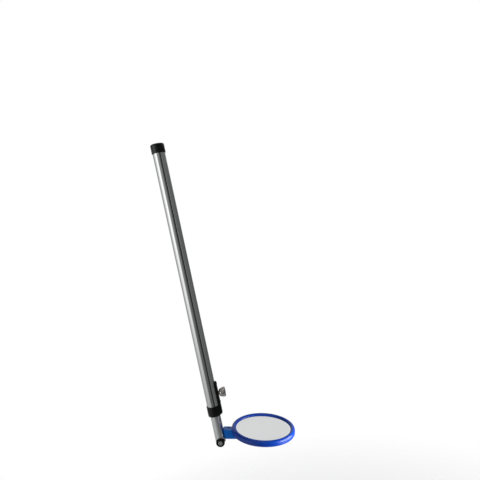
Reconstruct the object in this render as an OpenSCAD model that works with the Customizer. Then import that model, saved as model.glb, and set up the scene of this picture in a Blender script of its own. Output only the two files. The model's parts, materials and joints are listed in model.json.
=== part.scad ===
// Telescoping inspection mirror: a round mirror in a moulded rim, tilting on the end of a two-tube pole.
// Millimetres. The pole stands along Z, the origin is the centre of the handle's butt face, and the
// mirror hangs at the low end, out along +X. Heights called "above the tilt axis" are measured from it.

/* [Pole] */
// Butt face of the handle to the tilt axis, pole closed
pole_len = 760; // [740:10:820]
// Outside diameter of the outer tube
outer_d = 31; // [30.8:0.1:31.4]
// Wall of the outer tube
outer_wall = 1.5; // [1.3:0.1:1.6]
// Outside diameter of the inner tube
inner_d = 25; // [24.8:0.1:25.2]
// Wall of the inner tube
inner_wall = 1.5; // [1.2:0.1:2]
// Radius of the long groove's cutter
groove_r = 2.2; // [0.8:0.1:2.4]
// Depth of the long groove
groove_depth = 0.9; // [0.3:0.1:0.9]
// Bearing of the long groove round the tube, from +X
groove_bearing = -70; // [-180:1:180]
// How far the inner tube draws out
slide_travel = 500; // [300:10:500]

/* [End cap] */
// Outside diameter of the end cap
cap_d = 34.5; // [34:0.1:36]
// Height of the end cap
cap_h = 23.5; // [20:0.5:30]
// Thickness of the cap's closed end
cap_top = 4; // [3:0.5:6]
// Edge rounding of the cap
cap_round = 3; // [1:0.5:4]

/* [Clamp] */
// Outside diameter of the collar
collar_d = 34.5; // [34:0.1:36]
// Height of the collar
collar_h = 25.5; // [20:0.5:28]
// Underside of the collar above the tilt axis
collar_low = 67.8; // [60:0.1:70]
// Width of the collar's tongue
tongue_w = 15; // [9:0.5:16]
// Thickness of the tongue beyond the outer tube
tongue_out = 4; // [4:0.1:6]
// Top of the tongue above the tilt axis
tongue_high = 152.5; // [148:0.5:156]
// Clamp screw above the tilt axis
screw_high = 121.5; // [117:0.5:124]
// Diameter of the clamp screw's thread
stem_d = 6; // [5:0.5:6]
// Diameter of the knob's rim
knob_d = 24; // [20:0.5:28]
// Width of the knob's rim
knob_rim = 8; // [5:0.5:9]
// Pole axis to the knob's outer face
knob_face = 37; // [34:0.5:40]
// Diameter of the pressure pad
pad_d = 8.5; // [7.5:0.1:8.6]
// How far the clamp screw backs off
clamp_travel = 2; // [1:0.1:2.2]

/* [Hinge] */
// Tilt of the mirror's face away from square to the pole
droop = 12.5; // [12.5:0.5:20]
// Diameter of the cross barrel
barrel_d = 21; // [20:0.5:22]
// Pole axis to the barrel's front end
barrel_front = 15; // [14:0.5:16]
// Diameter of the hinge bolt
bolt_d = 6; // [5:0.5:6]
// Width across the flats of the bolt head and nut
hex_af = 10; // [9:0.5:11]
// Radius of the lug round the tilt axis
lug_r = 11; // [9:0.5:11]
// Thickness of the lug
lug_t = 6.5; // [5:0.5:8]

/* [Mirror head] */
// Outside diameter of the rim
disc_d = 160; // [155:1:165]
// Tilt axis to the mirror's centre
disc_reach = 107.5; // [107:0.5:112]
// Underside of the rim above the tilt axis
rim_low = 24; // [24:0.5:25]
// Whole height of the rim
rim_h = 14; // [12.5:0.5:14]
// Radius of the rim's half-round top
rim_r = 6; // [5:0.1:6]
// Rise of the mirror's crown
crown = 3.5; // [2:0.5:5]
// Thickness of the mirror
pane_t = 2.9; // [2:0.1:2.9]
// Screws that hold the bezel
shell_screw_count = 6; // [4:2:8]

/* [Arm] */
// Top of the arm block above the tilt axis
block_top = 30; // [29:0.5:31]
// Underside of the arm block above the tilt axis
block_low = 7.5; // [7.5:0.5:10]
// Pole axis to the block's front
block_front = 9; // [7:0.5:10]
// Pole axis to the block's back
block_back = 13; // [12.8:0.1:14]
// How far out the arm runs under the shell
arm_end = 66; // [60:1:75]

/* [Hidden] */
$fn = 96;

// Clearances: a running fit on the radius, a gap between faces that pass, and what a cutter overshoots
run_fit = 0.05;
face_gap = 0.1;
pass_gap = 0.6;
over = 1;

// Pole
outer_r = outer_d / 2;
bore_r = outer_r - outer_wall;
inner_r = inner_d / 2;
inner_bore_r = inner_r - inner_wall;
axis_z = -pole_len;
collar_lip = 3.7;
outer_low_z = axis_z + collar_low + collar_lip;
inner_end = -3;
guide_h = 30;
bush_high = tongue_high + 4;
draw_spare = 13.5;
inner_high = bush_high + slide_travel + guide_h + draw_spare;
plug_flange_h = 3;
plug_flange_r = bore_r - 0.8;
plug_in = 14;
guide_top = inner_high - face_gap;
guide_low = guide_top - guide_h;
ring_w = 1.2;
ring_depth = 0.5;
ring_low = guide_low - face_gap - ring_w;

// Clamp
collar_r = collar_d / 2;
collar_round = 1.5;
lip_r = inner_r + 0.4;
tongue_face = outer_r + tongue_out;
boss_r = 6;
boss_out = 0.5;
boss_face = tongue_face + boss_out;
insert_r = 4.2;
insert_in = outer_r + clamp_travel + 0.4;
stem_r = stem_d / 2;
tip_r = 1.5;
tip_len = 1.6;
pad_r = pad_d / 2;
pad_hole_r = pad_r + 0.15;
pad_pocket_r = pad_r + 0.35;
pad_back = outer_r - 0.1;
knob_r = knob_d / 2;
knob_neck_r = 4.5;
knob_neck_x = boss_face + pass_gap;
knob_rim_x = knob_face - knob_rim;
knob_neck_h = 0.8;
knob_bowl_r = knob_r - 1.2;
knob_bowl_steps = 8;
knob_chamfer = 0.8;
knob_dish_r = knob_r - 3;
knob_dish = 1.2;
stem_end = knob_face - 4;
rivet_r = 1.6;
rivet_head_r = 3.2;
rivet_head_h = 1.6;
rivet_inner_x = inner_r + 0.4;
rivet_margin = 6;
rivet_highs = [collar_low + collar_h + rivet_margin, tongue_high - rivet_margin];

// Hinge, along Y
barrel_r = barrel_d / 2;
barrel_back = inner_r - 0.1;
tee_plug_high = 34;
tee_pin_high = 22;
tee_pin_r = 2;
bolt_r = bolt_d / 2;
bolt_hole_r = bolt_r + 0.1;
recess_r = 7.25;
recess_in = barrel_front - 3;
bolt_washer_t = 1;
bolt_washer_r = 6;
bolt_head_in = recess_in + bolt_washer_t;
bolt_head_h = 4;
friction_r = barrel_r - 0.5;
friction_t = 0.5;
lug_in = barrel_back + friction_t + face_gap;
lug_out = lug_in + lug_t;
lug_bush_r = 4.5;
back_washer_in = lug_out + face_gap;
back_washer_r = 7;
back_washer_t = 1.2;
spring_in = back_washer_in + back_washer_t;
spring_r = 6.2;
spring_h = 1.6;
spring_t = 0.9;
nut_in = spring_in + spring_h;
nut_h = 6;
bolt_end = nut_in + nut_h + 1;

// Mirror head, in the head's own frame: u out from the tilt axis along X, w up the mirror's normal
disc_r = disc_d / 2;
rim_high = rim_low + rim_h;
seat_w = rim_low + 7;
floor_w = rim_low + 3;
shell_round = 3;
dish_r = disc_r - 13.5;
pane_r = disc_r - 8.2;
pane_edge_w = seat_w + 3;
lip_gap = 0.35;
pane_ball_r = (pane_r * pane_r + crown * crown) / (2 * crown);
pane_ball_w = pane_edge_w + crown - pane_ball_r;
foam_r = dish_r - 0.5;
shell_screw_at = disc_r - 4.2;
screw_r = 1.5;
screw_hole_r = 1.7;
screw_head_r = 2.9;
screw_head_h = 2;
screw_pocket_r = 3.1;
shell_screw_w = rim_low + 2.2;
shell_screw_tip = rim_high - 2.5;
drive_r = 1.3;
drive_depth = 1.1;

// Arm
mount_screw_w = 21;
mount_screw_tip = floor_w + 1.8;
mount_boss_r = 3.8;
mount_boss_high = floor_w + 2.1;
mount_spots = [[38, 0], [54, 8], [54, -8]];
arm_tip_low = 20;
arm_brow = disc_reach - disc_r + 5;
arm_knee = arm_brow + 7;
tenon = [12, 12, 14];
tenon_u = 14;
tenon_w = 12;
tenon_fit = 0.1;
arm_screw_u = 20;
arm_screw_y = 5;
arm_screw_seat = block_top - 2.6;
arm_screw_tip = 13.5;
arm_screw_head_r = 3.2;
arm_screw_shank_r = 1.75;
arm_pocket_r = 3.75;
plate_corner_u = 25;
plate_corner_w = block_top - 3;

// ---- placing -------------------------------------------------------------

module at_axis(high) {
    translate([0, 0, axis_z + high]) children();
}

// Turns what stands along Z to lie along +X, or along +Y
module along_x() {
    rotate([0, 90, 0]) children();
}

module along_y() {
    rotate([-90, 0, 0]) children();
}

// A flat outline (y, z) pushed out along +X, and one (x, z) pushed out along +Y
module push_x(depth) {
    rotate([90, 0, 90]) linear_extrude(depth) children();
}

module push_y(depth) {
    translate([0, depth, 0]) rotate([90, 0, 0]) linear_extrude(depth) children();
}

module head_frame() {
    at_axis(0) rotate([0, droop, 0]) children();
}

module disc_frame(w = 0) {
    head_frame() translate([disc_reach, 0, w]) children();
}

// ---- shapes that repeat --------------------------------------------------

module ring(r_out, r_in, h) {
    difference() {
        cylinder(r = r_out, h = h);
        translate([0, 0, -over]) cylinder(r = r_in, h = h + 2 * over);
    }
}

module hexagon(af, h) {
    cylinder(r = af / sqrt(3), h = h, $fn = 6);
}

// Outline of half a turned block, with its outer top edge rounded
module rounded_half(r, h, edge) {
    square([r - edge, h]);
    square([r, h - edge]);
    translate([r - edge, h - edge]) circle(edge);
}

// A domed head, flat side down
module dome(r, h) {
    ball = (r * r + h * h) / (2 * h);
    intersection() {
        translate([0, 0, h - ball]) sphere(ball);
        cylinder(r = r + over, h = h + over);
    }
}

// A pan-head screw, pointing down: its head sits on z = 0, and the driver recess is in the head's top
module screw(shank_r, head_r, head_h, length) {
    difference() {
        union() {
            rotate_extrude() rounded_half(head_r, head_h, 0.6);
            translate([0, 0, -length]) cylinder(r = shank_r, h = length + head_h / 2);
            translate([0, 0, -length - shank_r]) cylinder(r1 = 0.3, r2 = shank_r, h = shank_r);
        }
        translate([0, 0, head_h - drive_depth]) hexagon(2 * drive_r, drive_depth + over);
    }
}

module shell_screw_spots() {
    for (i = [0 : shell_screw_count - 1])
        rotate([0, 0, (i + 0.5) * 360 / shell_screw_count])
            translate([shell_screw_at, 0, 0]) children();
}

module mount_screw_spots() {
    for (spot = mount_spots)
        translate([spot[0], spot[1], 0]) children();
}

// ---- handle --------------------------------------------------------------

module rivet_bores(r) {
    for (high = rivet_highs)
        at_axis(high) along_x() cylinder(r = r, h = boss_face + over);
}

module outer_tube() {
    color("silver") difference() {
        translate([0, 0, outer_low_z]) cylinder(r = outer_r, h = -cap_top - outer_low_z);
        translate([0, 0, outer_low_z - over]) cylinder(r = bore_r, h = pole_len);
        rotate([0, 0, groove_bearing])
            translate([outer_r + groove_r - groove_depth, 0, outer_low_z - over])
                cylinder(r = groove_r, h = pole_len, $fn = 24);
        at_axis(screw_high) along_x() cylinder(r = pad_hole_r, h = outer_d);
        rivet_bores(rivet_r);
    }
}

module end_cap() {
    spigot_h = 16;
    spigot_wall = 2.5;
    color("black") difference() {
        translate([0, 0, -cap_h]) rotate_extrude() rounded_half(cap_d / 2, cap_h, cap_round);
        translate([0, 0, -cap_h - over]) ring(outer_r, bore_r, cap_h - cap_top + over);
        translate([0, 0, -cap_h - over])
            cylinder(r = bore_r - spigot_wall, h = cap_h - cap_top + over);
        translate([0, 0, -cap_h - over])
            cylinder(r = outer_r, h = cap_h - cap_top - spigot_h + over);
    }
}

module collar_ring() {
    at_axis(collar_low + collar_h) mirror([0, 0, 1]) rotate_extrude()
        rounded_half(collar_r, collar_h, collar_round);
}

module tongue() {
    half = tongue_w / 2;
    foot = collar_low + collar_round;
    push_x(tongue_face) translate([0, axis_z]) {
        translate([-half, foot]) square([tongue_w, tongue_high - half - foot]);
        translate([0, tongue_high - half]) circle(half);
    }
    at_axis(screw_high) along_x() cylinder(r = boss_r, h = boss_face);
}

module clamp_collar() {
    color([0.06, 0.06, 0.07]) difference() {
        union() {
            collar_ring();
            tongue();
        }
        translate([0, 0, outer_low_z]) cylinder(r = outer_r, h = pole_len);
        at_axis(0) cylinder(r = lip_r, h = pole_len);
        at_axis(screw_high) along_x() {
            cylinder(r = pad_pocket_r, h = insert_in);
            cylinder(r = insert_r, h = boss_face + over);
        }
        rivet_bores(rivet_r);
    }
}

module lower_bush() {
    color("ivory") difference() {
        translate([0, 0, outer_low_z]) ring(bore_r, inner_r + run_fit, axis_z + bush_high - outer_low_z);
        at_axis(screw_high) along_x() cylinder(r = pad_hole_r, h = outer_d);
        rivet_bores(rivet_r);
    }
}

module thread_insert() {
    color("goldenrod") at_axis(screw_high) along_x() translate([0, 0, insert_in])
        ring(insert_r, stem_r + run_fit, boss_face - insert_in);
}

module tongue_rivets() {
    color("silver") for (high = rivet_highs)
        at_axis(high) along_x() {
            translate([0, 0, rivet_inner_x]) cylinder(r = rivet_r, h = tongue_face - rivet_inner_x);
            translate([0, 0, tongue_face]) dome(rivet_head_r, rivet_head_h);
        }
}

// ---- clamp screw ---------------------------------------------------------

module pressure_pad() {
    color("ivory") difference() {
        at_axis(screw_high) along_x() cylinder(r = pad_r, h = pad_back);
        at_axis(0) cylinder(r = inner_r + run_fit, h = pole_len);
        at_axis(screw_high) along_x() translate([0, 0, pad_back - tip_len - face_gap])
            cylinder(r = tip_r + run_fit, h = tip_len + over);
    }
}

module clamp_screw() {
    color("lightgray") at_axis(screw_high) along_x() {
        translate([0, 0, pad_back + face_gap]) cylinder(r = stem_r, h = stem_end - pad_back - face_gap);
        translate([0, 0, pad_back - tip_len + face_gap]) cylinder(r = tip_r, h = tip_len);
    }
}

module thumb_knob() {
    bowl_x = knob_neck_x + knob_neck_h;
    bowl = [for (i = [0 : knob_bowl_steps]) [
        knob_neck_r + (knob_bowl_r - knob_neck_r) * sin(90 * i / knob_bowl_steps),
        bowl_x + (knob_rim_x - bowl_x) * (1 - cos(90 * i / knob_bowl_steps))
    ]];
    rim = [
        [knob_r - knob_chamfer, knob_rim_x],
        [knob_r, knob_rim_x + knob_chamfer],
        [knob_r, knob_face - knob_chamfer],
        [knob_r - knob_chamfer, knob_face],
        [knob_dish_r, knob_face],
        [knob_dish_r - knob_dish, knob_face - knob_dish],
        [0, knob_face - knob_dish]
    ];
    socket = [[0, stem_end], [stem_r, stem_end], [stem_r, knob_neck_x], [knob_neck_r, knob_neck_x]];
    color("silver") at_axis(screw_high) along_x() rotate_extrude() polygon(concat(bowl, rim, socket));
}

// ---- sliding pole --------------------------------------------------------

module guide_bush() {
    color("ivory") at_axis(guide_low) ring(bore_r - run_fit, inner_r + run_fit, guide_h);
}

module inner_tube() {
    color("gainsboro") difference() {
        at_axis(inner_end) ring(inner_r, inner_bore_r, inner_high - inner_end);
        at_axis(0) along_y() translate([0, 0, -inner_d]) cylinder(r = barrel_r, h = 2 * inner_d);
        at_axis(tee_pin_high) along_x() translate([0, 0, -inner_d])
            cylinder(r = tee_pin_r, h = 2 * inner_d);
        at_axis(ring_low) ring(inner_r + over, inner_r - ring_depth, ring_w);
    }
}

module top_plug() {
    color("ivory") {
        at_axis(inner_high - plug_in) ring(inner_bore_r, inner_bore_r - 3, plug_in);
        at_axis(inner_high) ring(plug_flange_r, inner_bore_r - 3, plug_flange_h);
    }
}

module snap_ring() {
    gap = 4;
    color("dimgray") difference() {
        at_axis(ring_low) ring(plug_flange_r, inner_r - ring_depth, ring_w);
        at_axis(ring_low - over) translate([0, -gap / 2, 0]) cube([outer_d, gap, ring_w + 2 * over]);
    }
}

// ---- hinge ---------------------------------------------------------------

module tee_fitting() {
    plug_low = 2;
    color([0.06, 0.06, 0.07]) difference() {
        union() {
            at_axis(plug_low) cylinder(r = inner_bore_r, h = tee_plug_high - plug_low);
            at_axis(0) along_y() translate([0, 0, -barrel_front])
                cylinder(r = barrel_r, h = barrel_front + barrel_back);
        }
        at_axis(0) along_y() {
            translate([0, 0, -barrel_front - over])
                cylinder(r = bolt_hole_r, h = barrel_front + barrel_back + 2 * over);
            translate([0, 0, -barrel_front - over])
                cylinder(r = recess_r, h = barrel_front - recess_in + over);
        }
        at_axis(tee_pin_high) along_x() translate([0, 0, -inner_d])
            cylinder(r = tee_pin_r, h = 2 * inner_d);
    }
}

module tee_pin() {
    reach = inner_r - 0.3;
    color("silver") at_axis(tee_pin_high) along_x() translate([0, 0, -reach])
        cylinder(r = tee_pin_r, h = 2 * reach);
}

module hinge_bolt() {
    color("silver") at_axis(0) along_y() {
        translate([0, 0, -bolt_head_in]) cylinder(r = bolt_r, h = bolt_head_in + bolt_end);
        intersection() {
            translate([0, 0, -bolt_head_in - bolt_head_h]) hexagon(hex_af, bolt_head_h);
            translate([0, 0, -bolt_head_in - bolt_head_h])
                cylinder(r1 = hex_af / 2, r2 = hex_af / 2 + 2 * bolt_head_h, h = bolt_head_h);
        }
    }
}

module bolt_washer() {
    color("silver") at_axis(0) along_y() translate([0, 0, -bolt_head_in])
        ring(bolt_washer_r, bolt_r + 0.2, bolt_washer_t);
}

module friction_washer() {
    color("dimgray") at_axis(0) along_y() translate([0, 0, barrel_back])
        ring(friction_r, bolt_r + 0.2, friction_t);
}

module back_washer() {
    color("silver") at_axis(0) along_y() translate([0, 0, back_washer_in])
        ring(back_washer_r, bolt_r + 0.2, back_washer_t);
}

// A coned spring washer: its rim bears on the plain washer and its bore under the nut
module spring_washer() {
    color("dimgray") at_axis(0) along_y() translate([0, 0, spring_in]) rotate_extrude() polygon([
        [spring_r, 0],
        [spring_r, spring_t],
        [bolt_r + 0.2, spring_h],
        [bolt_r + 0.2, spring_h - spring_t]
    ]);
}

module lock_nut() {
    crown_r = hex_af / 2 - 0.4;
    hex_h = nut_h - 1.5;
    color("silver") at_axis(0) along_y() translate([0, 0, nut_in]) difference() {
        union() {
            hexagon(hex_af, hex_h);
            cylinder(r = crown_r, h = nut_h);
        }
        translate([0, 0, -over]) cylinder(r = bolt_r, h = nut_h + 2 * over);
    }
}

// ---- arm -----------------------------------------------------------------

// The lug's plate swings behind the tube, and a tenon on it enters the arm block from the back
module pivot_lug() {
    color([0.05, 0.2, 0.62]) head_frame() {
        difference() {
            translate([0, lug_in, 0]) push_y(lug_t) {
                circle(lug_r);
                polygon([
                    [-lug_r * sin(40), lug_r * cos(40)],
                    [tenon_u - 6, plate_corner_w],
                    [plate_corner_u, plate_corner_w],
                    [plate_corner_u, block_low + 1],
                    [lug_r * sin(40), -lug_r * cos(40)]
                ]);
            }
            along_y() cylinder(r = lug_bush_r, h = 2 * lug_out);
        }
        difference() {
            translate([tenon_u, lug_in - tenon[1], tenon_w]) cube([tenon[0], tenon[1] + over, tenon[2]]);
            translate([arm_screw_u, arm_screw_y, 0]) cylinder(r = arm_screw_shank_r, h = block_top);
        }
    }
}

module lug_bush() {
    color("ivory") at_axis(0) along_y() translate([0, 0, lug_in]) ring(lug_bush_r, bolt_r + run_fit, lug_t);
}

// Side outline of the arm, (u, w): its near end stands parallel to the pole and just clear of it
module arm_outline() {
    near = inner_r + pass_gap;
    foot_u = (near - block_low * sin(droop)) / cos(droop);
    head_u = (near - block_top * sin(droop)) / cos(droop);
    polygon([
        [foot_u, block_low],
        [arm_knee, block_low],
        [arm_end, arm_tip_low],
        [arm_end, rim_low],
        [arm_brow, rim_low],
        [arm_brow, block_top],
        [head_u, block_top]
    ]);
}

module arm_block() {
    end_r = 16;
    color([0.05, 0.2, 0.62]) head_frame() difference() {
        intersection() {
            translate([0, -block_front, 0]) push_y(block_front + block_back) arm_outline();
            union() {
                translate([0, -outer_d, 0]) cube([arm_end - end_r, 2 * outer_d, rim_high]);
                translate([arm_end - end_r, (block_back - block_front) / 2, 0])
                    cylinder(r = end_r, h = rim_high);
            }
        }
        translate([disc_reach, 0, rim_low]) cylinder(r = disc_r + tenon_fit, h = rim_h, $fn = 180);
        translate([tenon_u - tenon_fit, lug_in - tenon[1] - tenon_fit, tenon_w - tenon_fit])
            cube([tenon[0] + 2 * tenon_fit, tenon[1] + over, tenon[2] + 2 * tenon_fit]);
        translate([arm_screw_u, arm_screw_y, arm_screw_tip - 3])
            cylinder(r = arm_screw_shank_r, h = block_top);
        translate([arm_screw_u, arm_screw_y, arm_screw_seat]) cylinder(r = arm_pocket_r, h = block_top);
        mount_screw_spots() {
            cylinder(r = screw_hole_r, h = rim_high);
            cylinder(r = screw_pocket_r, h = mount_screw_w);
        }
    }
}

module arm_screw() {
    color("silver") head_frame() translate([arm_screw_u, arm_screw_y, arm_screw_seat])
        screw(arm_screw_shank_r, arm_screw_head_r, 2.2, arm_screw_seat - arm_screw_tip);
}

module arm_mount_screws() {
    length = mount_screw_tip - screw_r - mount_screw_w;
    color("silver") head_frame() mount_screw_spots() translate([0, 0, mount_screw_w]) mirror([0, 0, 1])
        screw(screw_r, screw_head_r, screw_head_h, length);
}

// ---- mirror head ---------------------------------------------------------

module back_shell() {
    color([0.04, 0.18, 0.6]) difference() {
        union() {
            disc_frame(seat_w) mirror([0, 0, 1]) difference() {
                rotate_extrude($fn = 180) rounded_half(disc_r, seat_w - rim_low, shell_round);
                translate([0, 0, -over]) cylinder(r = dish_r, h = seat_w - floor_w + over, $fn = 180);
            }
            head_frame() mount_screw_spots() translate([0, 0, rim_low + over])
                cylinder(r = mount_boss_r, h = mount_boss_high - rim_low - over);
        }
        disc_frame(rim_low) shell_screw_spots() {
            translate([0, 0, -over]) cylinder(r = screw_hole_r, h = rim_h);
            translate([0, 0, -over]) cylinder(r = screw_pocket_r, h = shell_screw_w - rim_low + over);
        }
        head_frame() mount_screw_spots() translate([0, 0, rim_low - over])
            cylinder(r = screw_r, h = mount_screw_tip - rim_low + over);
    }
}

// Half-round ring: it laps the edge of the mirror and sits on the shell
module bezel() {
    color([0.06, 0.24, 0.75]) difference() {
        disc_frame() rotate_extrude($fn = 180) difference() {
            union() {
                translate([disc_r - rim_r, rim_high - rim_r]) circle(rim_r, $fn = 64);
                translate([disc_r - 2 * rim_r, seat_w]) square([2 * rim_r, rim_high - rim_r - seat_w]);
            }
            translate([0, rim_low - over]) square([disc_d, seat_w - rim_low + over]);
            translate([0, seat_w - over]) square([pane_r + tenon_fit, pane_edge_w + lip_gap - seat_w + over]);
        }
        disc_frame(seat_w - over) shell_screw_spots() cylinder(r = screw_r, h = shell_screw_tip - seat_w + over);
    }
}

module mirror_pane() {
    color("white") disc_frame() intersection() {
        cylinder(r = pane_r, h = pole_len, $fn = 180);
        translate([0, 0, pane_ball_w]) difference() {
            sphere(pane_ball_r);
            sphere(pane_ball_r - pane_t);
        }
    }
}

module foam_pad() {
    color("gray") difference() {
        disc_frame(floor_w) cylinder(r = foam_r, h = seat_w - floor_w, $fn = 180);
        head_frame() mount_screw_spots() cylinder(r = mount_boss_r + 0.4, h = rim_high);
    }
}

module shell_screws() {
    length = shell_screw_tip - screw_r - shell_screw_w;
    color("silver") disc_frame(shell_screw_w) shell_screw_spots() mirror([0, 0, 1])
        screw(screw_r, screw_head_r, screw_head_h, length);
}

// ---- what is drawn -------------------------------------------------------

outer_tube();
end_cap();
clamp_collar();
lower_bush();
thread_insert();
tongue_rivets();
pressure_pad();
clamp_screw();
thumb_knob();
guide_bush();
inner_tube();
top_plug();
snap_ring();
tee_fitting();
tee_pin();
hinge_bolt();
bolt_washer();
friction_washer();
back_washer();
spring_washer();
lock_nut();
pivot_lug();
lug_bush();
arm_block();
arm_screw();
arm_mount_screws();
back_shell();
bezel();
mirror_pane();
foam_pad();
shell_screws();
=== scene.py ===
"""Looks for the telescoping inspection mirror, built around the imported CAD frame.

Outlines are in millimetres in a local frame, and each piece's place turns them into metres in the
object's frame: +Z out through the handle's butt, +X to the thumb screw's and the mirror's side.
"""

import json
import math

import bmesh
import bpy
from mathutils import Matrix, Vector, noise


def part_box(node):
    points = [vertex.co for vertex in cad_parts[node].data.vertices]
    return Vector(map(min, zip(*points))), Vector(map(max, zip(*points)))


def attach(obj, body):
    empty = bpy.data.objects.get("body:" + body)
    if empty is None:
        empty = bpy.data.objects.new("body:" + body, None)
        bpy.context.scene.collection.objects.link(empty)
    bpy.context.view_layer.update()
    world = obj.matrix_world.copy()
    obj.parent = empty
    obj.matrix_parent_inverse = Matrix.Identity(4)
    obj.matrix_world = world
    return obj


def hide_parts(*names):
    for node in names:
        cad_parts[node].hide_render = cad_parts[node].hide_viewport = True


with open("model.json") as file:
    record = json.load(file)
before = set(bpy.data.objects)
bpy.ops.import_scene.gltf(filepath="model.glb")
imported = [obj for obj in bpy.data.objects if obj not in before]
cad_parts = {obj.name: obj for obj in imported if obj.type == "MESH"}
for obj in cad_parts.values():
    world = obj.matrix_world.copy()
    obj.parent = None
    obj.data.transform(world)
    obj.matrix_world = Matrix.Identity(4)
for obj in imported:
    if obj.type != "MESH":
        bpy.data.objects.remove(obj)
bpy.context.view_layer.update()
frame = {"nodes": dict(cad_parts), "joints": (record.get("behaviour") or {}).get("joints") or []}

# ---- places, read from the frame -----------------------------------------------------------------

MM = 0.001
joints = {joint["name"]: joint for joint in frame["joints"]}
hinge_at = Vector(joints["head_tilt"]["pos_m"])
screw_z = joints["clamp_turn"]["pos_m"][2]


def span(node):
    """A node's box as (low, high), in millimetres along the pole above the tilt axis."""
    low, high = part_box(node)
    return (low - hinge_at) / MM, (high - hinge_at) / MM


outer_low, outer_high = span("outer_tube")
cap_low, cap_high = span("end_cap")
collar_low, collar_high = span("clamp_collar")
knob_low, knob_high = span("thumb_knob")
inner_low, inner_high = span("inner_tube")
tee_low, tee_high = span("tee_fitting")
bolt_low, bolt_high = span("hinge_bolt")
nut_low, nut_high = span("lock_nut")
lug_back = span("pivot_lug")[1].y

# ---- sizes in millimetres ------------------------------------------------------------------------

# The mirror head: how far the arm drops from square to the pole, how far out the disc's centre is,
# and heights above the tilt axis in the head's own frame
DROOP = math.radians(12.5)
DISC_REACH = 107.5
DISC_R = 80
RIM_LOW = 24
RIM_TOP_R = 6
RIM_TOP = 38
SEAT = 31
FLOOR = 27
DISH_R = 66.5
PANE_R = 71.8
PANE_EDGE = 34
PANE_T = 2.9
CROWN = 3.5
LIP = 34.35
GROUND_AND_GLINT_FROM = 65.8
SHELL_EDGE = 3
SHELL_SCREWS = 6
SHELL_SCREW_AT = 75.8
POCKET_R = 3.1

# The handle and its clamp
OUTER_R = outer_high.x
BORE_R = 14
GROOVE_R = 2.2
GROOVE_DEPTH = 0.9
GROOVE_BEARING = math.radians(-70)
CAP_R = cap_high.x
CAP_TOP = 4
COLLAR_R = -collar_low.x
COLLAR_H = 25.5
TONGUE_W = 15
TONGUE_FACE = 19.5
TONGUE_BACK = 8
BOSS_R = 6
BOSS_BACK = 14
INSERT_R = 4.2
KNOB_RIM = 8
KNOB_NECK_R = 4.5
LIP_BORE_R = 12.9

# The sliding pole and the hinge
INNER_R = inner_high.x
INNER_BORE_R = 11
BARREL_R = tee_high.x
RECESS_R = 7.25
RECESS_DEPTH = 3
PIN_HIGH = 22
PIN_R = 2.05
PLUG_LOW = 9.2
PLUG_HIGH = 34
HEX_AF = 10
HEAD_H = 4
BOLT_R = 3
THREAD_LEN = 12

# The arm
LUG_R = 11
LUG_FRONT = 13
LUG_BUSH_R = 4.5
TENON = ((14, 12), (26, 12), (26, 26), (14, 26))
BLOCK_TOP = 30
BLOCK_LOW = 7.5
BLOCK_FRONT = -9
BLOCK_BACK = 13
ARM_END = 66
ARM_END_R = 16
ARM_TIP_LOW = 20
ARM_SCREW = (20, 5)
MOUNT_SCREWS = ((38, 0), (54, 8), (54, -8))
MOUNT_SEAT = 21
MOUNT_HOLE_R = 1.7

to_metres = Matrix.Scale(MM, 4)
pole = Matrix.Translation(hinge_at) @ to_metres
along_x = Matrix.Rotation(math.radians(90), 4, "Y")
along_y = Matrix.Rotation(math.radians(-90), 4, "X")
hinge = pole @ along_y
clamp = Matrix.Translation((0, 0, screw_z)) @ to_metres @ along_x
head = Matrix.Translation(hinge_at) @ Matrix.Rotation(DROOP, 4, "Y") @ to_metres
disc = head @ Matrix.Translation((DISC_REACH, 0, 0))
# An outline (u, w) in the head's frame, pushed out along +Y from y = 0
head_side = head @ Matrix(((1, 0, 0, 0), (0, 0, 1, 0), (0, 1, 0, 0), (0, 0, 0, 1)))
# An outline (y, z) in the pole's frame, pushed out along +X
pole_side = pole @ Matrix(((0, 0, 1, 0), (1, 0, 0, 0), (0, 1, 0, 0), (0, 0, 0, 1)))


# ---- shapes --------------------------------------------------------------------------------------

def arc(x, y, radius, start, end, steps):
    """Points on an arc round (x, y), from one angle in degrees to another."""
    turns = [math.radians(start + (end - start) * i / steps) for i in range(steps + 1)]
    return [(x + radius * math.cos(a), y + radius * math.sin(a)) for a in turns]


def rounded(corners, loop=False, steps=6):
    """The path through corners (x, y, radius), with each corner turned by an arc of its radius."""
    path = []
    last = len(corners) - 1
    for i, (x, y, radius) in enumerate(corners):
        here = Vector((x, y))
        if radius <= 0 or (not loop and i in (0, last)):
            path.append((x, y))
            continue
        back = Vector(corners[i - 1][:2]) - here
        on = Vector(corners[(i + 1) % (last + 1)][:2]) - here
        half = back.angle(on) / 2
        reach = min(radius / math.tan(half), 0.49 * back.length, 0.49 * on.length)
        radius = reach * math.tan(half)
        centre = here + (back.normalized() + on.normalized()).normalized() * radius / math.sin(half)
        start = here + back.normalized() * reach - centre
        end = here + on.normalized() * reach - centre
        sweep = math.atan2(start.cross(end), start.dot(end))
        for k in range(steps + 1):
            point = centre + Matrix.Rotation(sweep * k / steps, 2) @ start
            path.append((point.x, point.y))
    return path


def even(steps):
    return [2 * math.pi * i / steps for i in range(steps)]


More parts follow.
